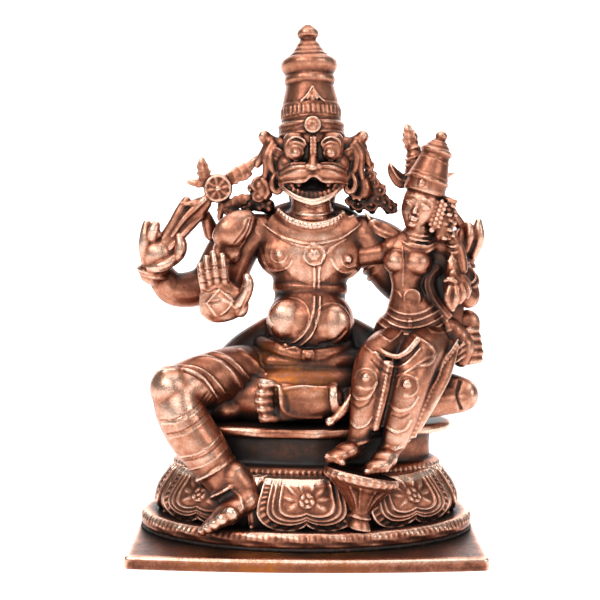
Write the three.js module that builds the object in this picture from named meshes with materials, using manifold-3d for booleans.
// Lakshmi Narasimha: a small copper-plated casting of the seated lion-headed figure with the goddess on
// its lap, on a drum seat over an oval lotus pedestal, brazed to a rectangular base plate.
// Millimetres, +Z up, the front faces -Y, and the origin is the centre of the plate's underside.
import * as THREE from "three";
import { mergeVertices } from "three/addons/utils/BufferGeometryUtils.js";
import Module from "manifold-3d";

const wasm = await Module();
wasm.setup();

// Driving dimensions
const PLATE = { width: 67, depth: 52, thick: 2.4, corner: 1.6, edge: 0.7, bow: 2.0 };
const BRAZE_GAP = 0.3;
const OVAL_Y = -3;
const ROOT_Z = PLATE.thick + BRAZE_GAP;
const RIM = { a: 33.0, b: 20.5, low: ROOT_Z, high: 6.0 };
const PETAL_ZONE = { top: 14.6, bottom: 5.2, topA: 26.8, bulgeA: 30.0, bottomA: 28.8, aspect: 0.585 };
const PETALS = { count: 7, width: 18.6, height: 9.8, relief: 1.1 };
const BEAD_RIM = { a: 26.7, b: 12.6, low: 13.8, high: 16.4 };
const DRUM = { a: 24.8, b: 10.6, low: 16.2, high: 22.2 };
const SLAB = { a: 28.7, b: 12.2, low: 21.8, high: 24.2 };
const COPPER = new THREE.MeshStandardMaterial({ color: 0x9c5236, roughness: 0.34, metalness: 1.0 });
const PLATE_COPPER = new THREE.MeshStandardMaterial({ color: 0x8c5138, roughness: 0.42, metalness: 1.0 });

// Skeleton points that several pieces share
const NECK = [0.7, 0.6, 63.5];
const HEAD = [0.7, 0.8, 74.4];
const CROWN_FOOT = [0.7, 1.9, 79.6];
const CROWN_TURN = [-7.5, -2.4];
const GODDESS_HEAD = [22.3, -4.4, 65.1];
const GODDESS_TILT = 18;

// Turning helpers
const DEG = Math.PI / 180;
const vector = (p) => new THREE.Vector3(...p);
const mix = (a, b, t) => a + (b - a) * t;

function solid(geometry) {
  const bare = geometry.clone();
  bare.deleteAttribute("normal");
  bare.deleteAttribute("uv");
  const merged = mergeVertices(bare, 1e-3);
  return new wasm.Manifold(new wasm.Mesh({
    numProp: 3,
    vertProperties: merged.attributes.position.array,
    triVerts: new Uint32Array(merged.index.array),
  }));
}

// Turns a geometry by degrees about X, Y and Z, then carries it to a point.
function placed(geometry, at = [0, 0, 0], turn = [0, 0, 0]) {
  const euler = new THREE.Euler(...turn.map((d) => d * DEG), "XYZ");
  return geometry.applyMatrix4(new THREE.Matrix4().makeRotationFromEuler(euler).setPosition(...at));
}

// Ends of a limb that are not rounded.
const BLUNT = [false, false];

// Keeps a faceted section's area equal to that of the round it stands for.
const facetSwell = (sides) => Math.sqrt((2 * Math.PI) / (sides * Math.sin((2 * Math.PI) / sides)));

function ball(at, radii, { turn = [0, 0, 0], around = 8, rows = 5 } = {}) {
  const swell = facetSwell(around);
  const geometry = new THREE.SphereGeometry(1, around, rows).rotateX(Math.PI / 2);
  return solid(placed(geometry.scale(radii[0] * swell, radii[1] * swell, radii[2]), at, turn));
}

// A limb through stations [x, y, z, radius, second radius]. The first radius lies towards side, and
// tips says whether its start and its end are rounded off or come to a blunt point.
function limb(stations, { sides = 7, perSpan = 1, side = [0, 1, 0], dome = 0.7, tips = [true, true] } = {}) {
  const centre = new THREE.CatmullRomCurve3(stations.map((s) => new THREE.Vector3(s[0], s[1], s[2])));
  const girth = new THREE.CatmullRomCurve3(stations.map((s) => new THREE.Vector3(s[3], s[4] ?? s[3], 0)));
  const spans = (stations.length - 1) * perSpan;
  const swell = facetSwell(sides);
  const rings = [];
  for (let i = 0; i <= spans; i++) {
    const t = i / spans;
    rings.push({ at: centre.getPoint(t), radii: girth.getPoint(t), along: centre.getTangent(t) });
  }
  const beyond = (ring, way, share, girthShare) => {
    const reach = way * dome * share * Math.min(ring.radii.x, ring.radii.y);
    return {
      at: ring.at.clone().addScaledVector(ring.along, reach),
      radii: ring.radii.clone().multiplyScalar(girthShare),
      along: ring.along,
    };
  };
  const startTip = beyond(rings[0], -1, tips[0] ? 1 : 0.5, 0);
  const endTip = beyond(rings[spans], 1, tips[1] ? 1 : 0.5, 0);
  if (tips[0]) rings.unshift(beyond(rings[0], -1, 0.68, 0.68));
  if (tips[1]) rings.push(beyond(rings.at(-1), 1, 0.68, 0.68));
  const last = rings.length - 1;
  const geometry = new THREE.CylinderGeometry(1, 1, 1, sides, last);
  const position = geometry.attributes.position;
  for (let i = 0; i < position.count; i++) {
    const row = Math.round((position.getY(i) + 0.5) * last);
    const ring = rings[row];
    const [u, v] = [position.getX(i) * swell, position.getZ(i) * swell];
    const point = ring.at.clone();
    if (Math.hypot(u, v) > 0.5) {
      const across = vector(side).projectOnPlane(ring.along).normalize();
      const third = across.clone().cross(ring.along);
      point.addScaledVector(across, u * ring.radii.x).addScaledVector(third, v * ring.radii.y);
    } else {
      point.copy(row === 0 ? startTip.at : endTip.at);
    }
    position.setXYZ(i, point.x, point.y, point.z);
  }
  return solid(geometry);
}

// A turned piece from [radius, height] pairs, bottom to top, closed on its axis. depth is its share of Y.
function turned(profile, { sides = 12, depth = 1, at = [0, 0, 0], turn = [0, 0, 0] } = {}) {
  const swell = facetSwell(sides);
  const closed = [[0, profile[0][1]], ...profile, [0, profile.at(-1)[1]]];
  const points = closed.map(([r, z]) => new THREE.Vector2(r * swell, z));
  const geometry = new THREE.LatheGeometry(points, sides).rotateX(Math.PI / 2);
  return solid(placed(geometry.scale(1, depth, 1), at, turn));
}

// A flat leaf of a flame or a scroll, toothed along both edges, in the XZ plane with its tip up.
function leaf(length, width, at, turn, { teeth = 3, thick = 1.1, bend = 0 } = {}) {
  const outline = new THREE.Shape();
  const edge = (t) => (width / 2) * Math.sin(Math.PI * Math.min(1, t * 0.9 + 0.12)) ** 0.8;
  const lean = (t) => bend * t * t;
  outline.moveTo(-width * 0.16, 0);
  for (let i = 1; i <= teeth; i++) {
    const [base, tip] = [(i - 0.75) / (teeth + 0.6), (i - 0.1) / (teeth + 0.6)];
    outline.lineTo(lean(base) - edge(base) * 0.86, base * length);
    outline.lineTo(lean(tip) - edge(tip) * 1.1, tip * length);
  }
  outline.lineTo(lean(1), length);
  for (let i = teeth; i >= 1; i--) {
    const [base, tip] = [(i - 0.75) / (teeth + 0.6), (i - 0.1) / (teeth + 0.6)];
    outline.lineTo(lean(tip) + edge(tip) * 1.1, tip * length);
    outline.lineTo(lean(base) + edge(base) * 0.86, base * length);
  }
  outline.lineTo(width * 0.16, 0);
  const geometry = new THREE.ExtrudeGeometry(outline, { depth: thick, bevelEnabled: false, steps: 1 });
  geometry.translate(0, 0, -thick / 2).rotateX(Math.PI / 2);
  return solid(placed(geometry, at, turn));
}

// A hand or a foot cut as one plate: palm or sole from heel to knuckles, then tapering digits from the
// first to the last across, and a thumb beside the last one if it has a length.
function palmPlate({ width, palm, heel, digits, thumb = null, thick, bevel = 0, at, across, along }) {
  const outline = new THREE.Shape();
  const step = width / digits.length;
  outline.moveTo(-heel / 2, 0);
  outline.lineTo(-width / 2, palm * 0.4);
  digits.forEach((length, i) => {
    const left = -width / 2 + i * step;
    outline.lineTo(left, palm);
    outline.lineTo(left + step * 0.16, palm + length);
    outline.lineTo(left + step * 0.84, palm + length);
  });
  outline.lineTo(width / 2, palm);
  if (thumb) {
    outline.lineTo(width / 2, palm * 0.8);
    outline.lineTo(width / 2 + thumb.reach - 0.8, palm * 0.7 + thumb.length);
    outline.lineTo(width / 2 + thumb.reach, palm * 0.7 + thumb.length);
    outline.lineTo(width / 2 + thumb.reach, palm * 0.45);
  } else {
    outline.lineTo(width / 2, palm * 0.4);
  }
  outline.lineTo(heel / 2, 0);
  const depth = thick - 2 * bevel;
  const geometry = new THREE.ExtrudeGeometry(outline, {
    depth, bevelEnabled: bevel > 0, bevelThickness: bevel, bevelSize: bevel, bevelOffset: -bevel,
    bevelSegments: 1,
  });
  const y = vector(along).normalize();
  const x = vector(across).projectOnPlane(y).normalize();
  const pose = new THREE.Matrix4().makeBasis(x, y, x.clone().cross(y)).setPosition(...at);
  return solid(geometry.translate(0, 0, -depth / 2).applyMatrix4(pose));
}

const fuse = (...pieces) => wasm.Manifold.union(pieces.flat(Infinity));

// Base plate: a cast slab with softened edges and a front edge that bows forward.
function basePlate() {
  const { width, depth, thick, corner, edge, bow } = PLATE;
  const [x, y] = [width / 2 - edge, depth / 2 - edge];
  const outline = new THREE.Shape();
  outline.moveTo(-x + corner, -y);
  outline.quadraticCurveTo(0, -y - 2 * bow, x - corner, -y);
  outline.quadraticCurveTo(x, -y, x, -y + corner);
  outline.lineTo(x, y - corner);
  outline.quadraticCurveTo(x, y, x - corner, y);
  outline.lineTo(-x + corner, y);
  outline.quadraticCurveTo(-x, y, -x, y - corner);
  outline.lineTo(-x, -y + corner);
  outline.quadraticCurveTo(-x, -y, -x + corner, -y);
  const geometry = new THREE.ExtrudeGeometry(outline, {
    depth: thick - 2 * edge, bevelThickness: edge, bevelSize: edge, bevelSegments: 1, curveSegments: 3,
  });
  return geometry.translate(0, 0, edge);
}

// Lotus pedestal and seat
const ovalPoint = (a, b, angle) => [a * Math.cos(angle), OVAL_Y + b * Math.sin(angle)];

// The petal zone's half width at a height, bulging out towards the bottom.
function bulge(z) {
  const t = THREE.MathUtils.clamp((PETAL_ZONE.top - z) / (PETAL_ZONE.top - PETAL_ZONE.bottom), 0, 1);
  const straight = mix(PETAL_ZONE.topA, PETAL_ZONE.bottomA, t);
  return straight + (PETAL_ZONE.bulgeA - PETAL_ZONE.bottomA) * 1.6 * Math.sin(Math.PI * t ** 1.25);
}

// Angles round the oval that lie a given arc length from the front centre.
function ovalAngles(a, b, steps = 720) {
  const lengths = [0];
  for (let i = 1; i <= steps; i++) {
    const angle = -Math.PI / 2 + ((i - 0.5) / steps) * 2 * Math.PI;
    lengths.push(lengths[i - 1] + Math.hypot(a * Math.sin(angle), b * Math.cos(angle)) * 2 * Math.PI / steps);
  }
  const around = lengths[steps];
  return {
    around,
    at(s) {
      const wanted = ((s % around) + around) % around;
      const i = lengths.findIndex((l) => l >= wanted);
      if (i <= 0) return -Math.PI / 2;
      const part = (wanted - lengths[i - 1]) / (lengths[i] - lengths[i - 1]);
      return -Math.PI / 2 + ((i - 1 + part) / steps) * 2 * Math.PI;
    },
  };
}
const PETAL_OVAL = ovalAngles(PETAL_ZONE.bulgeA, PETAL_ZONE.bulgeA * PETAL_ZONE.aspect);

// Lays a flat relief, x along the oval, y up and z outwards, on the bulging wall of the pedestal.
function wrapOnPedestal(geometry, arc, centreZ) {
  const position = geometry.attributes.position;
  for (let i = 0; i < position.count; i++) {
    const z = centreZ + position.getY(i);
    const a = bulge(z);
    const angle = PETAL_OVAL.at(arc + position.getX(i));
    const out = position.getZ(i);
    const [x, y] = ovalPoint(a + out, a * PETAL_ZONE.aspect + out, angle);
    position.setXYZ(i, x, y, z);
  }
  return geometry;
}

// One drooping petal: a rounded panel with a raised border, a sunk band and a two-lobed inner leaf.
function petal(arc, width, height, relief, sides) {
  const rows = [[1.0, -1.4], [0.95, 1.3], [0.7, 0.5], [0, 1.0]];
  const points = rows.map(([share, out]) => new THREE.Vector2(share, out * relief));
  points.unshift(new THREE.Vector2(0, -1.4 * relief));
  const geometry = new THREE.LatheGeometry(points, sides).rotateX(Math.PI / 2);
  const position = geometry.attributes.position;
  for (let i = 0; i < position.count; i++) {
    const [u, v] = [position.getX(i), position.getY(i)];
    const share = Math.hypot(u, v);
    const angle = Math.atan2(v, u);
    const square = (Math.abs(Math.cos(angle)) ** 4 + Math.abs(Math.sin(angle)) ** 4) ** -0.25;
    const reach = share * square;
    position.setXY(i, Math.cos(angle) * reach * width / 2, Math.sin(angle) * reach * height / 2);
  }
  return solid(wrapOnPedestal(geometry, arc, (PETAL_ZONE.top + PETAL_ZONE.bottom) / 2));
}

const ovalBand = (rows, sides, { a, b }) => turned(rows, { sides, depth: b / a, at: [0, OVAL_Y, 0] });

function lotusPedestal() {
  const rimRows = [
    [RIM.a - 1.3, RIM.low], [RIM.a, RIM.low + 1.2],
    [RIM.a - 0.1, RIM.high - 0.6], [RIM.a - 1.4, RIM.high + 0.1],
  ];
  const wall = [0, 0.4, 1].map((t) => {
    const z = mix(PETAL_ZONE.bottom, PETAL_ZONE.top + 0.3, t);
    return [bulge(z), z];
  });
  const pitch = PETAL_OVAL.around / PETALS.count;
  const petals = [];
  for (let i = 0; i < PETALS.count; i++) {
    petals.push(petal(i * pitch, PETALS.width, PETALS.height, PETALS.relief, 8));
  }
  return [ovalBand(rimRows, 20, RIM), ovalBand(wall, 16, { a: 1, b: PETAL_ZONE.aspect }), petals];
}

function seat() {
  const bead = [
    [BEAD_RIM.a - 0.3, BEAD_RIM.low], [BEAD_RIM.a, BEAD_RIM.high - 0.8], [BEAD_RIM.a - 1.0, BEAD_RIM.high],
  ];
  const drum = [[DRUM.a - 0.3, DRUM.low], [DRUM.a - 0.3, DRUM.high]];
  const slab = [
    [SLAB.a - 0.6, SLAB.low], [SLAB.a, SLAB.low + 0.7],
    [SLAB.a - 0.1, SLAB.high - 0.6], [SLAB.a - 0.8, SLAB.high],
  ];
  return [ovalBand(bead, 18, BEAD_RIM), ovalBand(drum, 18, DRUM), ovalBand(slab, 18, SLAB)];
}

// Footrest: a small lotus cup on a stem, tipped a little, that carries the goddess's feet.
function footrest() {
  const rows = [[2.6, -10.6], [1.9, -8.2], [4.6, -2.8], [7.1, -1.0], [7.0, 0.3]];
  return turned(rows, { sides: 10, depth: 0.74, at: [10.2, -19.6, 16.1], turn: [-4, 9, 0] });
}

// The lion-headed figure's trunk and legs. Torso stations are [x, y, z, half width, half depth].
const TORSO = [
  [0.4, 1.6, 36.5, 11.4, 6.4], [0.5, 1.0, 43.0, 8.0, 5.6], [0.5, 0.2, 49.6, 7.1, 5.0],
  [0.6, 0.2, 56.6, 10.4, 6.1], [0.3, 0.6, 61.4, 11.8, 5.2], [0.6, 0.8, 64.2, 4.4, 3.6],
];
const RIGHT_LEG = [
  [-6.0, 1.0, 31.8, 5.6], [-18.4, -8.6, 32.6, 5.4], [-24.5, -13.8, 30.5, 5.1], [-22.4, -15.4, 25.8, 5.4],
  [-19.0, -15.8, 19.4, 4.7], [-15.6, -16.2, 14.2, 3.4], [-13.6, -16.6, 11.4, 3.1],
];
const LEFT_THIGH = [[6.5, 1.0, 31.4, 6.2], [18.0, -1.9, 30.6, 4.5], [30.9, -6.2, 29.4, 3.1]];
const LEFT_SHIN = [[30.6, -7.0, 28.7, 2.8], [20.0, -10.2, 28.4, 3.3], [7.0, -12.6, 29.2, 2.8]];

// Raised band round a limb at a point, with the limb's own radius and direction there.
function hem(at, radius, along, width, sides = 8) {
  const way = vector(along).normalize();
  const end = (s) => vector(at).addScaledVector(way, s * width / 2).toArray();
  return limb([[...end(-1), radius], [...end(1), radius]], { sides, dome: 0.1, tips: BLUNT });
}

function legs() {
  const lap = ball([-1.5, -1.6, 27.6], [19.0, 8.6, 7.4], { around: 8, rows: 4 });
  const shinHem = hem([-20.9, -15.6, 23.0], 5.45, [0.45, -0.07, -0.88], 3.0);
  return [lap, limb(RIGHT_LEG), limb(LEFT_THIGH, { sides: 6 }), limb(LEFT_SHIN, { sides: 6 }), shinHem];
}

// The planted foot, and the folded one on its side with the sole to the front and its toes in a column.
function feet() {
  return [
    palmPlate({
      width: 6.4, palm: 8.0, heel: 4.6, digits: [2.6, 2.4, 2.2, 2.0, 1.8], thick: 3.4,
      at: [-9.6, -14.4, 9.6], across: [-4.9, 0.7, -3.0], along: [-5.6, -7.6, -2.5],
    }),
    palmPlate({
      width: 7.4, palm: 11.8, heel: 6.6, digits: [3.4, 3.2, 3.0, 2.8, 2.6], thick: 3.2,
      at: [5.4, -13.9, 29.6], across: [0, 0, -1], along: [-1, -0.03, 0],
    }),
    limb([[9.6, -14.0, 30.2, 0.6, 0.9], [4.6, -15.2, 25.4, 0.7, 0.9]], { sides: 4, tips: BLUNT }),
  ];
}

// Belly of two round lobes under a corded belt, chest, jewellery and the rolled cloth below the belly.
function trunk() {
  const body = limb(TORSO, { sides: 8, side: [1, 0, 0], dome: 0.3, tips: BLUNT });
  const belly = ball([0.6, -2.2, 43.8], [8.5, 5.8, 6.6]);
  const lobes = [
    ball([-3.5, -5.0, 44.0], [3.9, 3.9, 4.1], { around: 7 }),
    ball([4.9, -5.0, 43.2], [3.8, 3.9, 4.1], { around: 7 }),
  ];
  const chest = [
    ball([-5.2, -3.3, 57.0], [4.2, 3.2, 3.6], { around: 7, rows: 4 }),
    ball([6.6, -3.2, 56.6], [4.2, 3.2, 3.6], { around: 7, rows: 4 }),
  ];
  const medallion = turned([[2.2, 0], [1.9, 0.6]], { sides: 8, at: [1.2, -5.7, 56.5], turn: [90, 0, 0] });
  const collar = limb([
    [-9.0, -2.0, 62.2, 0.6, 1.6], [0.8, -5.9, 59.5, 0.6, 1.8], [10.2, -1.8, 62.6, 0.6, 1.6],
  ], { sides: 4, perSpan: 2, tips: BLUNT });
  const neck = limb([[...NECK, 4.3], [0.7, 0.2, 67.5, 3.9]], { sides: 8, tips: BLUNT });
  const beltRows = [[7.8, -0.7], [7.8, 0.7]];
  const belt = turned(beltRows, { sides: 8, depth: 0.76, at: [0.5, 0, 49.1], turn: [0, 2, 0] });
  const waistCloth = limb([
    [-10.4, -3.0, 40.4, 0.9], [0.8, -7.4, 36.0, 1.3], [10.6, -2.6, 39.6, 0.9],
  ], { sides: 5, perSpan: 2, tips: BLUNT });
  return [body, belly, lobes, chest, medallion, collar, neck, belt, waistCloth];
}

// Lion head: skull, brows, bulging eyes, broad muzzle, open mouth and jaw.
function lionHead() {
  const [x, y, z] = HEAD;
  const pair = (dx, make) => [make(x - dx, -1), make(x + dx, 1)];
  const skull = ball([x, y, z + 0.6], [6.1, 5.2, 6.9], { around: 9 });
  const brows = pair(2.9, (px) => ball([px, y - 3.9, z + 3.0], [2.4, 1.8, 2.8], { around: 6, rows: 4 }));
  const eyes = pair(2.9, (px) => ball([px, y - 5.2, z + 1.9], [1.15, 1.1, 1.15], { around: 6, rows: 3 }));
  const nose = limb([
    [x, y - 4.7, z + 4.8, 0.8], [x, y - 5.4, z + 1.4, 0.8], [x, y - 7.4, z - 0.9, 0.95],
  ], { sides: 4, tips: BLUNT });
  const pad = { around: 6, rows: 4 };
  const muzzle = pair(2.8, (px, s) => {
    return ball([px, y - 4.9, z - 2.4], [3.5, 2.9, 1.8], { turn: [0, s * 6, 0], ...pad });
  });
  const jaw = limb([
    [x - 5.9, y - 3.2, z - 4.4, 0.75], [x, y - 7.3, z - 6.8, 1.1], [x + 5.9, y - 3.2, z - 4.5, 0.75],
  ], { sides: 4, perSpan: 2, tips: BLUNT });
  const chin = ball([x, y - 3.2, z - 6.6], [4.2, 3.8, 1.6], { around: 7, rows: 4 });
  const mouth = ball([x, y - 6.0, z - 4.9], [4.9, 4.0, 1.4], { around: 8, rows: 4 });
  return fuse(skull, brows, eyes, nose, muzzle, jaw, chin).subtract(mouth);
}

// Ears, hanging ear rings, mane curls and rosettes on both sides of the lion head.
function lionSides() {
  const made = [];
  for (const s of [-1, 1]) {
    const at = (dx, y, z, r) => [HEAD[0] + s * dx, y, z, r];
    const lock = (...stations) => {
      made.push(limb(stations.map((p) => at(...p)), { sides: 4, tips: BLUNT }));
    };
    lock([5.6, 0.8, 77.0, 1.3], [8.2, 1.4, 78.4, 1.3], [9.6, 1.8, 79.6, 1.0]);
    lock([8.2, 1.4, 78.6, 1.0], [8.7, 0.8, 74.6, 1.4], [8.6, 1.0, 68.8, 1.3]);
    lock([5.6, -0.4, 76.4, 1.6], [7.0, 0.2, 73.4, 1.9], [6.4, 0.4, 70.4, 1.4]);
    lock([9.0, 1.6, 77.2, 0.8], [10.6, 2.0, 73.6, 0.8], [10.2, 2.2, 70.4, 0.8]);
    made.push(leaf(12.4, 5.6, [HEAD[0] + s * 10.6, 2.6, 61.0], [0, s * -2, 0], { thick: 3.4 }));
  }
  // The back hair falls behind the neck to the shoulders.
  const backHair = [
    [0.7, 4.8, 78.0, 5.2, 2.6], [0.7, 5.2, 71.5, 6.0, 2.6],
    [0.7, 4.6, 66.5, 4.4, 2.6], [0.7, 3.8, 61.0, 5.0, 2.4],
  ];
  made.push(limb(backHair, { side: [1, 0, 0], tips: BLUNT }));
  return made;
}

// Tall crown of turned rings that leans back, with a diadem band and a round jewel over the brow.
function crown() {
  const rows = [
    [6.1, -1.2], [6.3, 1.8], [5.7, 2.5], [4.7, 10.0], [4.9, 12.3],
    [5.65, 14.4], [4.2, 16.2], [1.7, 19.5], [2.2, 20.3], [1.7, 21.6],
  ];
  const [back, sideways] = CROWN_TURN;
  const body = turned([...rows, [0.4, 22.4]], { sides: 10, at: CROWN_FOOT, turn: [back, sideways, 0] });
  const jewel = turned([[1.7, 0], [1.4, 0.8]], { sides: 8, at: [0.9, -4.2, 81.9], turn: [90, 0, 0] });
  return [body, jewel];
}

// Arms of the lion-headed figure. Rear arms carry the disc and the conch, front arms bless and hold.
const REAR_ARM = [
  [9.6, 3.8, 60.8, 3.6], [16.6, 5.0, 57.8, 3.7], [21.2, 5.8, 49.8, 3.8],
  [27.6, 4.6, 48.8, 3.5], [30.8, 3.2, 52.8, 2.8],
];
const FRONT_RIGHT = [
  [-9.4, 0.4, 60.6, 3.6], [-13.4, 0.8, 56.0, 3.4], [-15.6, 1.6, 49.6, 3.0],
  [-15.8, -1.8, 46.4, 2.8], [-15.9, -5.0, 46.4, 2.4],
];
const FRONT_LEFT = [
  [10.8, 0.4, 60.2, 3.4], [14.6, 2.0, 55.6, 3.1], [17.6, 4.0, 50.6, 2.8],
  [24.0, 3.4, 45.2, 2.6], [32.2, -1.6, 38.0, 2.3],
];

// Turns axis-to-side distances into X on the right hand (-1) or the left hand (1).
const sided = (s, stations) => stations.map(([d, ...rest]) => [NECK[0] + s * d, ...rest]);

// The open blessing hand, and a rear hand with two fingers up to hold its emblem and one curled.
const blessingHand = () => palmPlate({
  width: 7.8, palm: 8.4, heel: 5.6, digits: [4.2, 4.9, 5.4, 5.0], thumb: { reach: 1.9, length: 3.2 },
  thick: 2.8, bevel: 0.45, at: [-15.2, -6.6, 43.2], across: [1, 0, 0.24], along: [-0.24, -0.04, 1],
});
const emblemHand = (s) => palmPlate({
  width: 6.2, palm: 6.0, heel: 5.2, digits: [4.4, 4.7, 0.8], thumb: { reach: 1.6, length: 3.0 },
  thick: 3.2, at: sided(s, [[30.0, 1.0, 53.0]])[0], across: [-s, 0, 0], along: [0, -0.12, 1],
});

function arms() {
  const all = [sided(-1, REAR_ARM), FRONT_RIGHT, sided(1, REAR_ARM), FRONT_LEFT];
  const limbs = all.map((stations) => limb(stations, { sides: 6, tips: BLUNT }));
  const armlets = [
    leaf(8.4, 4.6, [-16.8, -2.9, 57.0], [-4, 42, 0], { teeth: 2, thick: 2.0 }),
    leaf(5.4, 4.4, [15.4, -1.4, 55.6], [-16, -34, 0], { teeth: 2, thick: 1.4 }),
  ];
  const hipHand = palmPlate({
    width: 5.8, palm: 2.2, heel: 4.6, digits: [2.6, 2.8, 2.8, 2.5], thick: 2.4,
    at: [33.2, -3.4, 38.0], across: [0.1, 0, -1], along: [-1, -0.3, 0],
  });
  return [limbs, armlets, blessingHand(), emblemHand(-1), emblemHand(1), hipHand];
}

// The disc with its ribbon handle and flame leaves, in the rear right hand.
function discEmblem() {
  const at = [-18.0, 0.8, 69.2];
  const wheelRows = [[2.95, -0.7], [2.9, 0.7], [2.2, 0.7], [2.0, 0.3], [0.6, 0.3], [0.4, 1.0]];
  const wheel = turned(wheelRows, { sides: 10, at, turn: [90, 0, 0] });
  const ribbon = limb([
    [-28.8, 0.2, 60.0, 1.8, 0.9], [-25.6, 0.4, 63.4, 2.2, 0.9],
    [-22.0, 0.8, 66.4, 1.5, 0.9], [-19.8, 0.9, 67.6, 1.1, 0.9],
  ], { sides: 5, side: [0.7, 0, -0.7], tips: BLUNT });
  const trail = limb([
    [-26.8, -0.2, 60.0, 0.7], [-23.2, 0.8, 63.0, 0.7], [-19.4, 1.6, 64.6, 0.8],
  ], { sides: 4, tips: BLUNT });
  const strut = limb([[-20.4, 2.0, 64.6, 1.1], [-18.4, 4.4, 59.4, 1.8]], { sides: 5, tips: BLUNT });
  const leaves = [
    leaf(5.0, 3.0, [-21.2, 0.9, 70.4], [0, 6, 0], { teeth: 1, bend: 1.4 }),
    leaf(5.0, 2.2, [-20.2, 0.9, 69.6], [0, -84, 0], { teeth: 1, bend: 0.4 }),
    leaf(6.6, 4.2, [-16.2, 1.0, 71.2], [0, 54, 0], { teeth: 2 }),
    leaf(8.4, 3.4, [-17.6, 1.2, 63.4], [0, 62, 0], { teeth: 2 }),
  ];
  const bridge = limb([[-12.4, 1.2, 74.2, 0.9], [-8.2, 1.2, 75.8, 1.1]], { sides: 4, tips: BLUNT });
  const lowBridge = limb([[-12.6, 1.8, 66.4, 1.1], [-9.2, 2.2, 67.2, 1.1]], { sides: 4, tips: BLUNT });
  return [wheel, ribbon, trail, strut, leaves, bridge, lowBridge];
}

// The conch with flame leaves behind the goddess's crown, on a stem from the rear left hand.
function conchEmblem() {
  const stem = limb([
    [30.4, 1.0, 60.6, 1.2], [25.4, 2.0, 68.0, 1.4], [22.2, 1.8, 74.0, 1.6],
  ], { sides: 5, tips: BLUNT });
  const shellRows = [[0.8, -4.2], [2.3, -1.6], [1.6, 1.8], [1.8, 2.5], [1.2, 3.4]];
  const shell = turned(shellRows, { sides: 7, at: [21.7, 1.4, 73.8], turn: [0, -6, 0] });
  const crescent = limb([
    [21.2, 1.4, 70.6, 1.3, 0.7], [18.6, 1.4, 71.4, 1.4, 0.7], [17.2, 1.4, 74.0, 0.5, 0.5],
  ], { sides: 4, side: [0, 0, 1], tips: BLUNT });
  return [stem, shell, crescent, leaf(5.6, 3.9, [21.0, 1.4, 76.8], [0, -12, 0], { teeth: 2 })];
}

// The goddess on the left thigh. Torso stations as above.
const GODDESS_TORSO = [
  [20.6, -4.8, 38.6, 6.8, 4.6], [19.9, -5.3, 45.6, 4.6, 3.6], [19.0, -5.2, 51.0, 2.7, 2.4],
  [19.6, -4.7, 55.4, 4.7, 2.6], [20.6, -4.2, 58.4, 4.8, 2.3], [21.2, -3.9, 60.4, 2.4, 2.0],
];
const GODDESS_RIGHT_LEG = [
  [16.8, -6.6, 38.6, 4.0], [13.0, -11.2, 37.2, 3.7], [11.4, -14.4, 33.6, 3.1],
  [10.6, -15.1, 27.6, 2.5], [9.6, -15.2, 19.6, 1.8],
];
const GODDESS_LEFT_LEG = [
  [24.0, -6.4, 38.8, 4.3], [21.4, -11.2, 37.4, 4.1], [19.6, -14.4, 33.4, 3.7],
  [17.8, -15.4, 26.8, 2.9], [15.6, -15.6, 18.6, 1.9],
];
const GODDESS_LEFT_ARM = [
  [27.0, -3.4, 59.0, 2.2], [29.2, -3.6, 54.4, 2.2], [32.0, -4.0, 49.0, 2.2],
  [31.4, -6.4, 48.4, 1.9], [29.4, -7.8, 50.4, 1.5],
];
const GODDESS_RIGHT_ARM = [[17.2, -3.4, 57.6, 2.1], [11.8, -1.2, 56.6, 2.0]];

function goddessBody() {
  const limbs = [GODDESS_RIGHT_LEG, GODDESS_LEFT_LEG, GODDESS_LEFT_ARM, GODDESS_RIGHT_ARM];
  return [
    limb(GODDESS_TORSO, { sides: 8, side: [1, 0, 0], dome: 0.3, tips: BLUNT }),
    ball([17.2, -6.6, 55.2], [2.2, 2.1, 2.2], { around: 6, rows: 4 }),
    ball([21.5, -6.7, 54.9], [2.5, 2.4, 2.5], { around: 6, rows: 4 }),
    turned([[2.1, -0.6], [1.4, 0.8]], { sides: 6, at: [19.6, -7.6, 48.0], turn: [90, 0, 0] }),
    turned([[6.9, -0.5], [5.9, 1.6]], { sides: 8, depth: 0.7, at: [20.4, -5.1, 42.4], turn: [8, 4, 0] }),
    limb([[20.9, -4.2, 58.8, 2.7], [21.6, -4.3, 63.0, 2.4]], { sides: 6, tips: BLUNT }),
    limbs.map((stations) => limb(stations, { sides: 6, tips: BLUNT })),
  ];
}

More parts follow.
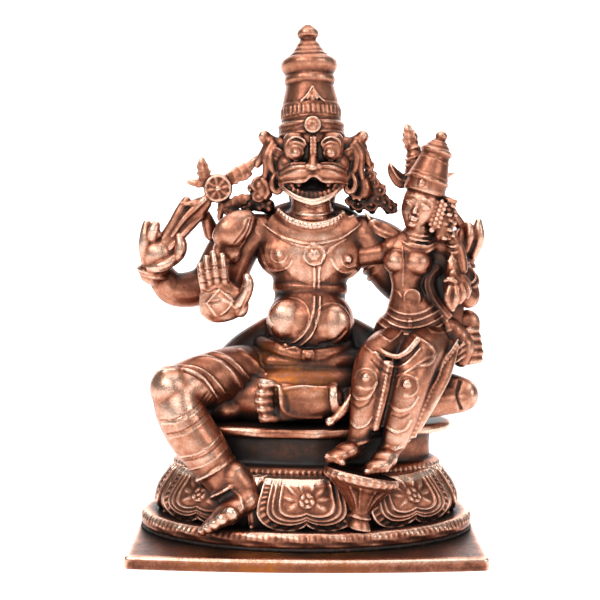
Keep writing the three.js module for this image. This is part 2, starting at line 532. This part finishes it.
// Her head, tilted, with a turned crown, an earring, and hair that falls behind the left ear.
function goddessHead() {
  const [x, y, z] = GODDESS_HEAD;
  const [cos, sin] = [Math.cos(GODDESS_TILT * DEG), Math.sin(GODDESS_TILT * DEG)];
  const point = (dx, dy, dz) => [x + dx * cos + dz * sin, y + dy, z - dx * sin + dz * cos];
  const face = ball(point(0, -0.2, 0), [3.4, 3.2, 4.4], { turn: [0, GODDESS_TILT, 0], rows: 5 });
  const noseLine = [[...point(-0.4, -3.0, 1.2), 0.35], [...point(-0.4, -3.6, -0.5), 0.5]];
  const nose = limb(noseLine, { sides: 4, tips: BLUNT });
  const crownRows = [
    [4.0, -0.8], [4.2, 1.0], [3.0, 2.6], [2.7, 5.4], [3.3, 6.3], [2.5, 7.4], [1.0, 9.2], [1.2, 10.2],
  ];
  const top = turned([...crownRows, [0.2, 11.3]], {
    sides: 9, at: point(-0.2, 0.2, 3.9), turn: [-4, GODDESS_TILT, 0],
  });
  const lock = (...stations) => {
    return limb(stations.map(([dx, dy, dz, r]) => [...point(dx, dy, dz), r]), { sides: 5, tips: BLUNT });
  };
  const hair = [
    lock([3.0, 0.8, 2.6, 1.6], [4.6, 0.8, -0.4, 2.0], [6.2, 0.8, -4.0, 2.0]),
    lock([3.4, -1.0, 0.6, 1.0], [4.2, -1.0, -3.8, 1.2]),
    ball(point(0.6, 1.6, -0.4), [3.4, 2.6, 4.2], { around: 7 }),
  ];
  return [face, nose, top, hair];
}

// Her left hand droops with a bud between thumb and fingers; both feet rest on the footrest.
function goddessHandsAndFeet() {
  return [
    palmPlate({
      width: 4.6, palm: 3.0, heel: 3.4, digits: [2.0, 2.8, 2.4, 1.6], thick: 2.0,
      at: [28.7, -8.4, 51.6], across: [1, 0, 0.1], along: [-0.2, -0.1, -1],
    }),
    palmPlate({
      width: 3.6, palm: 4.0, heel: 2.8, digits: [1.4, 1.3, 1.2, 1.1, 1.0], thick: 2.2,
      at: [9.9, -14.8, 19.0], across: [-3.0, 0.8, 0.6], along: [-3.6, -4.2, -1.2],
    }),
    palmPlate({
      width: 4.2, palm: 4.4, heel: 3.0, digits: [1.6, 1.5, 1.3, 1.2, 1.1], thick: 2.2,
      at: [15.6, -14.9, 18.0], across: [3.6, -0.4, -0.5], along: [-1.4, -5.2, -1.4],
    }),
  ];
}

// Her drapery: the looped sash over the lap, the pleats between the legs, the side tails and the shawl.
function goddessDrapery() {
  const cord = { sides: 4, tips: BLUNT };
  const cloth = { sides: 5, side: [1, 0, 0], tips: BLUNT };
  const pleat = [[16.0, -13.6, 35.6, 2.2, 0.9], [14.6, -15.6, 30.0, 2.0, 0.9], [13.2, -15.8, 24.4, 1.4, 0.8]];
  return [
    limb([[13.6, -13.6, 40.2, 0.6], [16.6, -14.6, 37.2, 0.65], [20.6, -13.0, 40.6, 0.6]], cord),
    limb(pleat, cloth),
    limb([[28.6, -7.2, 38.4, 1.2, 0.9], [24.8, -11.8, 33.2, 2.2, 1], [21.4, -14.2, 24.2, 1.6, 1]], cloth),
    limb([[24.4, -3.8, 52.4, 0.9], [24.0, -5.0, 48.6, 0.8], [26.8, -4.6, 43.4, 1.1]], cord),
  ];
}

function metal(name, geometry, material) {
  const mesh = new THREE.Mesh(geometry, material);
  mesh.name = name;
  return mesh;
}

// A solid's surface as a geometry for a mesh.
function surface(body) {
  const { numProp, vertProperties, triVerts } = body.getMesh();
  const geometry = new THREE.BufferGeometry();
  const data = new THREE.InterleavedBuffer(vertProperties, numProp);
  geometry.setAttribute("position", new THREE.InterleavedBufferAttribute(data, 3, 0));
  geometry.setIndex(new THREE.BufferAttribute(triVerts, 1));
  return geometry;
}

const casting = fuse(
  lotusPedestal(), seat(), footrest(), legs(), feet(), trunk(), lionHead(), lionSides(), crown(), arms(),
  discEmblem(), conchEmblem(), goddessBody(), goddessHead(), goddessHandsAndFeet(), goddessDrapery(),
);

const idol = new THREE.Group();
idol.add(metal("deity_group_casting", surface(casting), COPPER));
idol.add(metal("base_plate", basePlate(), PLATE_COPPER));

export default idol;
